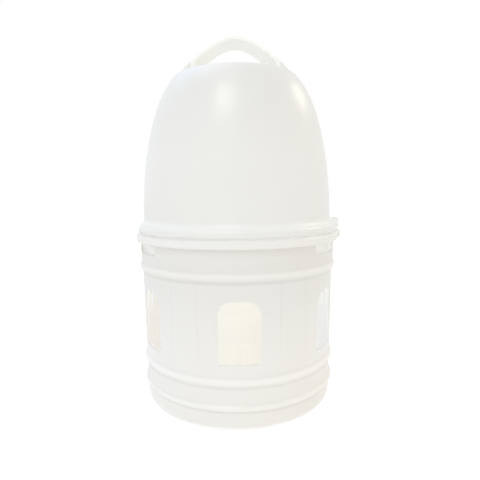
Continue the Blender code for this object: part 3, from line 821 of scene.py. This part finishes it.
def base_strips():
    """The base's plain stretches as profiles: all of it but the bands with windows and slots."""
    low, high = WINDOW_BAND
    inner_round = FOOT_ROUND - FLOOR_THICKNESS
    ledge_wall = wall_radius(TROUGH_LEDGE_HEIGHT) - WALL
    floor = between((0.0, FLOOR_THICKNESS), (TROUGH_RADIUS - inner_round, FLOOR_THICKNESS), 12)
    floor += arc((TROUGH_RADIUS - inner_round, FOOT_ROUND), inner_round, -90, 0, 12)[1:]
    floor += between(floor[-1], (TROUGH_RADIUS, TROUGH_LEDGE_HEIGHT - EDGE), 8)[1:]
    floor += arc((TROUGH_RADIUS + EDGE, TROUGH_LEDGE_HEIGHT - EDGE), EDGE, 180, 95, 4)[1:]
    floor += [(ledge_wall - EDGE / 2, TROUGH_LEDGE_HEIGHT + TROUGH_LEDGE_SLOPE),
              (ledge_wall, TROUGH_LEDGE_HEIGHT + TROUGH_LEDGE_SLOPE + EDGE / 2)]
    floor += between(floor[-1], (wall_radius(low) - WALL, low), 3)[1:]

    foot = [(wall_radius(low), low)]
    for middle, height, depth in RIBS:
        top, bottom = middle + height / 2, middle - height / 2
        foot += bead((wall_radius(top), top), (wall_radius(bottom), bottom), depth)
    foot += arc((WALL_FOOT_RADIUS - FOOT_ROUND, FOOT_ROUND), FOOT_ROUND, 0, -90, 16)
    foot += between(foot[-1], (0.0, 0.0), 12)[1:]

    shoulder_top = SHOULDER_HEIGHT + SHOULDER_RIB[0] / 2
    shoulder_foot = SHOULDER_HEIGHT - SHOULDER_RIB[0] / 2
    outer = [(COLLAR_RADIUS, SLOT_BAND[0])]
    outer += bead((COLLAR_RADIUS, shoulder_top), (wall_radius(shoulder_foot), shoulder_foot),
                  SHOULDER_RIB[1], 20)
    outer.append((wall_radius(high), high))
    inner = [(wall_radius(high) - WALL, high),
             (wall_radius(SHOULDER_HEIGHT - SHOULDER_STEP) - WALL, SHOULDER_HEIGHT - SHOULDER_STEP),
             (COLLAR_RADIUS - WALL - EDGE / 2, SHOULDER_HEIGHT + SHOULDER_STEP - EDGE / 2),
             (COLLAR_RADIUS - WALL, SHOULDER_HEIGHT + SHOULDER_STEP),
             (COLLAR_RADIUS - WALL, SLOT_BAND[0])]

    flange_middle = FLANGE_RADIUS - FLANGE_ROUND
    top = between((COLLAR_RADIUS - WALL, SLOT_BAND[1]), (COLLAR_RADIUS - WALL, BASE_HEIGHT - EDGE), 5)
    top += arc((COLLAR_RADIUS - WALL + EDGE, BASE_HEIGHT - EDGE), EDGE, 180, 90, 4)[1:]
    top += arc((flange_middle, BASE_HEIGHT - FLANGE_ROUND), FLANGE_ROUND, 90, 0, 8)
    top += arc((flange_middle, FLANGE_BOTTOM + FLANGE_ROUND), FLANGE_ROUND, 0, -90, 8)
    top.append((COLLAR_RADIUS, FLANGE_BOTTOM))
    return [floor, foot, outer, inner, top]


def base_mesh(finish):
    """The base in one closed skin: turned stretches, window band and slot band, with lug entries."""
    edge = settings().edge_round
    parts = [turned(line, finish) for line in base_strips()]
    window = holed_panel(wall_radius, WALL, WINDOW_BAND, 360 / WINDOW_COUNT, window_hole,
                         COLUMNS // WINDOW_COUNT, WINDOW_ROWS, edge)
    slot = holed_panel(collar_radius, WALL, SLOT_BAND, 360 / SLOT_COUNT, slot_hole,
                       COLUMNS // SLOT_COUNT, SLOT_ROWS, edge / 2, levels=20)
    parts.append(ring(window, WINDOW_COUNT, 0.0, finish))
    parts.append(ring(slot, SLOT_COUNT, SLOT_CENTRE, finish))
    skin = welded(parts)
    reach = side_at(BASE_RADIUS, ENTRY_HALF_ANGLE)
    entry = block((-reach, -ENTRY_REACH, SLOT_TOP - OVERCUT),
                  (reach, -ENTRY_REACH + CUT_DEPTH, BASE_HEIGHT + OVERCUT))
    return combined(skin, [ring(entry, SLOT_COUNT, LUG_CENTRE, finish)], "DIFFERENCE")


def bracket_mesh(finish):
    """Pairs of thin upright brackets between the windows, whose tops carry the funnel's rim."""
    top = RIM_BOTTOM - FIT_GAP
    foot = wall_radius(BRACKET_FOOT)
    outline = [
        (BRACKET_REACH, top),
        (BRACKET_REACH, BRACKET_CORNER),
        (foot - WALL + BITE / 2, BRACKET_FOOT),
        (foot - BITE, BRACKET_FOOT),
        (BASE_RADIUS - BITE, BRACKET_CORNER),
        (BASE_RADIUS - BITE, top),
    ]
    plate = rounded(prism(outline, BRACKET_THICKNESS), EDGE / 2)
    pair = [plate.copy(), plate.copy()]
    for bracket, side in zip(pair, (-BRACKET_SPREAD, BRACKET_SPREAD)):
        bracket.transform(Matrix.Rotation(math.radians(side - 90.0), 4, "Z"))
    return ring(joined(pair), WINDOW_COUNT, 180.0 / WINDOW_COUNT, finish)


def bell_side(count):
    """The tank's outer side, from the crown down to the flare above its flange."""
    angle = math.radians(CROWN_ANGLE)
    pull = (CROWN_RADIUS + CROWN_PULL * math.cos(angle), CROWN_HEIGHT - CROWN_PULL * math.sin(angle))
    return curve_points((CROWN_RADIUS, CROWN_HEIGHT), pull, (BELL_RADIUS, BELL_FOOT + BELL_RISE),
                        (BELL_RADIUS, BELL_FOOT), count)


def bell_profile():
    """Dished crown, round rim, side, flare, flange and skirt, then back up the inside."""
    angle = math.radians(90 - CROWN_ANGLE)
    rim_centre = (CROWN_RADIUS - RIM_ROUND * math.cos(angle), CROWN_HEIGHT - RIM_ROUND * math.sin(angle))
    flange_foot = BASE_HEIGHT + FIT_GAP
    line = between((0.0, DISH_FLOOR), (DISH_RADIUS - 0.001, DISH_FLOOR), 10)
    line += [(DISH_RADIUS, DISH_FLOOR + 0.0005)]
    line += arc(rim_centre, RIM_ROUND, 110, math.degrees(angle), 8)
    line += bell_side(70)[1:]
    line += arc((BELL_RADIUS + FLARE_RADIUS, BELL_FOOT + BITE / 2), FLARE_RADIUS, 190, 238, 10)
    line += arc((TANK_FLANGE_RADIUS - TANK_CREST_ROUND, flange_foot + TANK_CREST_RISE), TANK_CREST_ROUND,
                60, 0, 12)
    line += arc((TANK_FLANGE_RADIUS - TANK_LIP_ROUND, flange_foot + TANK_LIP_ROUND), TANK_LIP_ROUND,
                0, -90, 8)
    line += [(SKIRT_RADIUS, flange_foot)]
    line += [(SKIRT_RADIUS, SKIRT_BOTTOM + EDGE), (SKIRT_RADIUS - EDGE, SKIRT_BOTTOM)]
    line += [(SKIRT_RADIUS - SEAL_WIDTH - FIT_GAP, SKIRT_BOTTOM), (BELL_RADIUS - TANK_WALL, FLANGE_BOTTOM)]
    line += inset(bell_side(36), TANK_WALL)[::-1]
    line += between((DISH_RADIUS, DISH_FLOOR - TANK_WALL), (0.0, DISH_FLOOR - TANK_WALL), 8)
    return line


def arch_line(first, last):
    """The handle's outer line between two distances from the middle."""
    line = curve_points((0.0, ARCH_TOP), (ARCH_TOP_PULL, ARCH_TOP), ARCH_FOOT_PULL, ARCH_FOOT, 60)
    slope = (line[-1][1] - line[-2][1]) / (line[-1][0] - line[-2][0])
    line.append((BRACE_END, line[-1][1] + slope * (BRACE_END - line[-1][0])))
    inside = [point for point in line if first < point[0] < last]
    return [(first, height_on(line, first)), *inside, (last, height_on(line, last))]


def brace_meshes():
    """On each side, the solid wedge that carries the strap's line to the rim, and the strap's socket."""
    outer = arch_line(STRAP_HALF_SPAN + FIT_GAP, BRACE_END)
    outline = outer + [(BRACE_END, DISH_FLOOR - BITE), (outer[0][0], DISH_FLOOR - BITE)]
    near = STRAP_HALF_SPAN - STRAP_THICKNESS - FIT_GAP
    far = STRAP_HALF_SPAN + FIT_GAP
    half = STRAP_FOOT_WIDTH / 2 + FIT_GAP
    meshes = []
    for side in (1, -1):
        wedge = prism([(side * x, z) for x, z in outline], STRAP_FOOT_WIDTH)
        meshes.append(rounded(wedge, STRAP_EDGE))
        low, high = sorted((side * (near - SOCKET_WALL), side * (far + SOCKET_WALL)))
        socket = rounded(block((low, -half - SOCKET_WALL, DISH_FLOOR - BITE),
                               (high, half + SOCKET_WALL, DISH_FLOOR + SOCKET_HEIGHT)), STRAP_EDGE)
        low, high = sorted((side * near, side * far))
        pocket = block((low, -half, DISH_FLOOR + SOCKET_FLOOR),
                       (high, half, DISH_FLOOR + SOCKET_HEIGHT + OVERCUT))
        meshes.append(combined(socket, [pocket], "DIFFERENCE"))
    return meshes


def strap_half_width(x):
    """Half the strap's width, which grows with the square of the distance from its middle."""
    share = min(abs(x) / (STRAP_HALF_SPAN - STRAP_THICKNESS), 1.0)
    return (STRAP_TOP_WIDTH + (STRAP_FOOT_WIDTH - STRAP_TOP_WIDTH) * share ** 2) / 2


def band(stations):
    """A closed band through pairs of points, one on its outer and one on its inner side."""
    shape = bmesh.new()
    rings = []
    for outer, inner in stations:
        corners = [(x, side * strap_half_width(x), z) for side in (-1, 1) for x, z in (outer, inner)]
        rings.append([shape.verts.new(corners[i]) for i in (0, 1, 3, 2)])
    skinned(shape, rings)
    shape.faces.new(rings[0])
    shape.faces.new(rings[-1])
    bmesh.ops.recalc_face_normals(shape, faces=shape.faces)
    return mesh_of(shape, "band")


def strap_mesh():
    """The strap: an arch with a leg at each end that stands in its socket."""
    outer = arch_line(0.0, STRAP_HALF_SPAN)
    inner = inset(outer, STRAP_THICKNESS)
    leg_inner = STRAP_HALF_SPAN - STRAP_THICKNESS
    leg_foot = DISH_FLOOR + SOCKET_FLOOR + FIT_GAP
    half = [pair for pair in zip(outer, inner) if pair[1][0] < leg_inner - 3 * BITE]
    half[0] = ((0.0, ARCH_TOP), (0.0, ARCH_TOP - STRAP_THICKNESS))
    corner = (leg_inner, height_on(inner, leg_inner))
    bend = curve_points(half[-1][1], (corner[0] - BITE, corner[1] + BITE),
                        (corner[0], corner[1] - BITE / 2), (corner[0], corner[1] - 4 * BITE), 8)
    rest = between(half[-1][0], outer[-1], 5) + between(outer[-1], (STRAP_HALF_SPAN, bend[-1][1]), 2)[1:]
    half += list(zip(rest[1:], bend[1:]))
    half.append(((STRAP_HALF_SPAN, leg_foot), (leg_inner, leg_foot)))
    left = [tuple((-x, z) for x, z in pair) for pair in half[:0:-1]]
    return rounded(band(left + half), STRAP_EDGE, 4)


def funnel_mesh(finish):
    """The closure: rim, cone and dip neck with its hoop, channel and outlet notch."""
    hoop_middle, hoop_width, hoop_depth = HOOP
    line = [(COLLAR_RADIUS - WALL - FIT_GAP, RIM_TOP), (COLLAR_RADIUS - WALL - FIT_GAP, RIM_BOTTOM),
            (RIM_SEAT_RADIUS, RIM_BOTTOM)]
    cone = between((RIM_SEAT_RADIUS, RIM_BOTTOM), CONE_FOOT, 14)
    cone += curve_points(CONE_FOOT, CONE_PULL, NECK_PULL, (NECK_RADIUS, NECK_TOP), 12)[1:]
    hoop = bead((NECK_RADIUS, hoop_middle + hoop_width / 2), (NECK_RADIUS, hoop_middle - hoop_width / 2),
                hoop_depth, 12)
    line += cone[1:] + hoop
    line += [(NECK_RADIUS, NECK_BOTTOM + EDGE), (NECK_RADIUS - EDGE, NECK_BOTTOM)]
    line += [(NECK_RADIUS - TANK_WALL, NECK_BOTTOM)]
    upper = inset(cone, TANK_WALL)
    line += upper[::-1] + [(upper[0][0] + BITE, RIM_TOP)]
    line.append(line[0])
    body = welded([turned(line, finish)])
    half = CHANNEL_WIDTH / 2
    groove = [(-half, CHANNEL_SPAN[0]), (half, CHANNEL_SPAN[0])]
    groove += arc((0.0, CHANNEL_SPAN[1] - half), half, 0, 180, 16)
    channel = prism(groove, CUT_DEPTH)
    channel.transform(Matrix.Translation((0.0, -(NECK_RADIUS - CHANNEL_DEPTH + CUT_DEPTH / 2), 0.0)))
    outlet = block((-half, -NECK_RADIUS - OVERCUT, NECK_BOTTOM - OVERCUT),
                   (half, -NECK_RADIUS + 2 * OVERCUT, OUTLET_TOP))
    return combined(body, [channel, outlet], "DIFFERENCE")


class DRINKER_OT_base(bpy.types.Operator):
    """Make the base, its inner brackets and its index tab."""

    bl_idname = "drinker.make_base"
    bl_label = "Make Base"

    def execute(self, context):
        # The base's finish carries painted light and shade by height, and painted light on its inner face.
        finish = finish_named("milky_base_wall", plastic, settings().wall_colour, WALL_ROUGHNESS,
                              WALL_CLEARNESS, WARM_TINT, BASE_SKIN, settings().inside_painted_glow, lines=True,
                              glow=base_painted_light())
        place("base_shell", base_mesh(finish), "base", finish, "base_plastic", ["drinking_base"])
        place("rim_brackets", bracket_mesh(finish), "base", finish, "base_plastic")
        tab = rounded(block((COLLAR_RADIUS, -TAB_WIDTH / 2, FLANGE_BOTTOM + FIT_GAP),
                            (BASE_TAB_REACH, TAB_WIDTH / 2, BASE_HEIGHT - FIT_GAP)), TAB_EDGE, 4)
        knob = bmesh.new()
        bmesh.ops.create_uvsphere(
            knob, u_segments=32, v_segments=20, radius=KNOB_RADIUS,
            matrix=Matrix.Translation((KNOB_REACH, 0.0, BASE_HEIGHT - FIT_GAP)))
        both = combined(tab, [mesh_of(knob, "knob")], "UNION")
        place("base_tab", both, "base", finish, "base_plastic")
        return {"FINISHED"}


class DRINKER_OT_tank(bpy.types.Operator):
    """Make the tank bell with its lugs, index tab, braces and sockets."""

    bl_idname = "drinker.make_tank"
    bl_label = "Make Tank"

    def execute(self, context):
        # The tank's finish carries painted light and shade by height.
        finish = finish_named("milky_tank_wall", plastic, settings().tank_colour, WALL_ROUGHNESS,
                              WALL_CLEARNESS, CLEAR_TINT, glow=TANK_PAINTED_LIGHT)
        place("bell_shell", welded([turned(bell_profile(), finish)]), "tank", finish, "tank_plastic",
              ["tank_bell"])
        reach = side_at(SKIRT_RADIUS, LUG_HALF_ANGLE)
        lug_top = SLOT_TOP - FIT_GAP
        lug = rounded(block((-reach, -LUG_REACH, lug_top - LUG_HEIGHT), (reach, -LUG_ROOT, lug_top)), EDGE)
        place("bayonet_lugs", ring(lug, SLOT_COUNT, LUG_CENTRE, finish), "tank", finish, "tank_plastic")
        tab = rounded(block((BELL_RADIUS - BITE, -TAB_WIDTH / 2, TANK_TAB_SPAN[0]),
                            (TANK_TAB_REACH, TAB_WIDTH / 2, TANK_TAB_SPAN[1])), TAB_EDGE, 4)
        place("tank_tab", tab, "tank", finish, "tank_plastic")
        place("strap_braces", joined(brace_meshes()), "tank", finish, "tank_plastic")
        return {"FINISHED"}


class DRINKER_OT_strap(bpy.types.Operator):
    """Make the carrying strap."""

    bl_idname = "drinker.make_strap"
    bl_label = "Make Strap"

    def execute(self, context):
        finish = finish_named("milky_strap", plastic, settings().strap_colour, WALL_ROUGHNESS,
                              WALL_CLEARNESS, CLEAR_TINT)
        place("carrying_strap", strap_mesh(), "tank", finish, "handle_plastic", ["carry_handle"])
        return {"FINISHED"}


class DRINKER_OT_closure(bpy.types.Operator):
    """Make the funnel that closes the tank, and finish its seal."""

    bl_idname = "drinker.make_closure"
    bl_label = "Make Closure"

    def execute(self, context):
        finish = finish_named("milky_funnel", plastic, settings().inner_colour, FUNNEL_ROUGHNESS,
                              FUNNEL_CLEARNESS, WARM_TINT)
        place("neck_funnel", funnel_mesh(finish), "funnel", finish, "funnel_plastic", ["outlet_funnel"])
        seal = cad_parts["seal_ring"]
        seal.material_slots[0].material = finish_named("toothed_rubber", rubber, settings().seal_colour)
        return {"FINISHED"}


class DRINKER_OT_stage(bpy.types.Operator):
    """Make the camera, the soft lamps, the white surroundings and the floor."""

    bl_idname = "drinker.make_stage"
    bl_label = "Make Stage"

    def execute(self, context):
        make_camera()
        make_lamps()
        make_world()
        make_floor()
        return {"FINISHED"}


def make_camera():
    """The photograph's view: just above the flange's height, looking slightly down."""
    data = bpy.data.cameras.new("camera")
    data.sensor_width = 36.0
    data.lens = LENS
    camera = in_scene("camera", data)
    turn = Matrix.Rotation(math.radians(CAMERA_TURN), 4, "Z")
    aim = Matrix.Rotation(math.radians(90.0 - CAMERA_DIP), 4, "X")
    roll = Matrix.Rotation(math.radians(CAMERA_ROLL), 4, "Z")
    camera.matrix_world = turn @ Matrix.Translation(CAMERA_PLACE) @ aim @ roll
    bpy.context.scene.camera = camera


def add_lamp(name, power, place_at, size, colour):
    """A square soft lamp that points at the drinker's axis, at AIM_HEIGHT."""
    data = bpy.data.lights.new(name, "AREA")
    data.size = size
    data.energy = power
    data.color = colour
    lamp = in_scene(name, data)
    aim = Vector((0.0, 0.0, AIM_HEIGHT)) - Vector(place_at)
    lamp.matrix_world = Matrix.Translation(place_at) @ aim.to_track_quat("-Z", "Y").to_matrix().to_4x4()


def make_lamps():
    add_lamp("key_lamp", settings().key_power, *KEY_LAMP)
    add_lamp("top_lamp", settings().top_power, *TOP_LAMP)
    add_lamp("warm_lamp", settings().warm_power, *WARM_LAMP)
    add_lamp("cool_lamp", settings().cool_power, *COOL_LAMP)


def make_world():
    """White to the camera and in reflections, and a plain soft light on everything.

    The light is about half as strong overhead as from the sides. It is warmer on the right than on
    the left, and bluish overhead on the left.
    """
    world = bpy.data.worlds.new("studio")
    world.use_nodes = True
    bpy.context.scene.world = world
    tree = world.node_tree
    tree.nodes.clear()
    path = add_node(tree, "ShaderNodeLightPath").outputs
    seen = maths(tree, "MAXIMUM", path["Is Camera Ray"],
                 maths(tree, "MAXIMUM", path["Is Glossy Ray"], path["Is Transmission Ray"]))
    way = parted(tree, add_node(tree, "ShaderNodeTexCoord").outputs["Generated"])
    side = ranged(tree, way["X"], -0.7, 0.7, interpolation_type="SMOOTHSTEP")
    overhead = ranged(tree, way["Z"], 0.0, 0.7, interpolation_type="SMOOTHSTEP")
    colour = mixed(tree, overhead, mixed(tree, side, *SIDE_LIGHT), mixed(tree, side, *SKY_LIGHT))
    light = add_node(tree, "ShaderNodeBackground", {"Color": colour, "Strength": 1.0})
    white = add_node(tree, "ShaderNodeBackground", {"Color": (1.0, 1.0, 1.0, 1.0), "Strength": 1.0})
    mix = add_node(tree, "ShaderNodeMixShader", {0: seen, 1: light.outputs[0], 2: white.outputs[0]})
    add_node(tree, "ShaderNodeOutputWorld", {"Surface": mix.outputs[0]})


def make_floor():
    """A wide round floor that is white to the camera and keeps the drinker's shadow."""
    shape = bmesh.new()
    bmesh.ops.create_circle(shape, cap_ends=True, segments=96, radius=6.0)
    mesh = mesh_of(shape, "floor")
    material = bpy.data.materials.new("floor_white")
    material.use_nodes = True
    tree = material.node_tree
    tree.nodes.clear()
    seen = add_node(tree, "ShaderNodeLightPath").outputs["Is Camera Ray"]
    matt = add_node(tree, "ShaderNodeBsdfDiffuse", {"Color": (0.80, 0.80, 0.80, 1.0)})
    soft = add_node(tree, "ShaderNodeEmission", {"Color": (1.0, 0.98, 0.94, 1.0), "Strength": 0.33})
    lit = add_node(tree, "ShaderNodeAddShader", {0: matt.outputs[0], 1: soft.outputs[0]})
    faint = add_node(tree, "ShaderNodeBsdfDiffuse", {"Color": (0.40, 0.40, 0.40, 1.0)})
    glow = add_node(tree, "ShaderNodeEmission", {"Color": (1.0, 1.0, 1.0, 1.0), "Strength": 0.80})
    bright = add_node(tree, "ShaderNodeAddShader", {0: faint.outputs[0], 1: glow.outputs[0]})
    mix = add_node(tree, "ShaderNodeMixShader", {0: seen, 1: lit.outputs[0], 2: bright.outputs[0]})
    add_node(tree, "ShaderNodeOutputMaterial", {"Surface": mix.outputs[0]})
    mesh.materials.append(material)
    floor = in_scene("floor", mesh)
    floor.location = (0.0, 0.0, -FLOOR_DROP)


class DRINKER_PT_panel(bpy.types.Panel):
    """The drinker's settings and its build steps."""

    bl_idname = "DRINKER_PT_panel"
    bl_label = "Pigeon Drinker"
    bl_space_type = "VIEW_3D"
    bl_region_type = "UI"
    bl_category = "Drinker"

    def draw(self, context):
        for name in DrinkerSettings.__annotations__:
            self.layout.prop(context.scene.drinker, name)
        for step in STEPS:
            self.layout.operator(step.bl_idname)


STEPS = (DRINKER_OT_base, DRINKER_OT_tank, DRINKER_OT_strap, DRINKER_OT_closure, DRINKER_OT_stage)
CLASSES = (DrinkerSettings, *STEPS, DRINKER_PT_panel)


def register():
    for item in CLASSES:
        bpy.utils.register_class(item)
    bpy.types.Scene.drinker = bpy.props.PointerProperty(type=DrinkerSettings)


def unregister():
    del bpy.types.Scene.drinker
    for item in reversed(CLASSES):
        bpy.utils.unregister_class(item)


def main():
    register()
    bpy.context.scene.view_settings.view_transform = "Standard"
    bpy.ops.drinker.make_base()
    bpy.ops.drinker.make_tank()
    bpy.ops.drinker.make_strap()
    bpy.ops.drinker.make_closure()
    bpy.ops.drinker.make_stage()


if __name__ == "__main__":
    main()
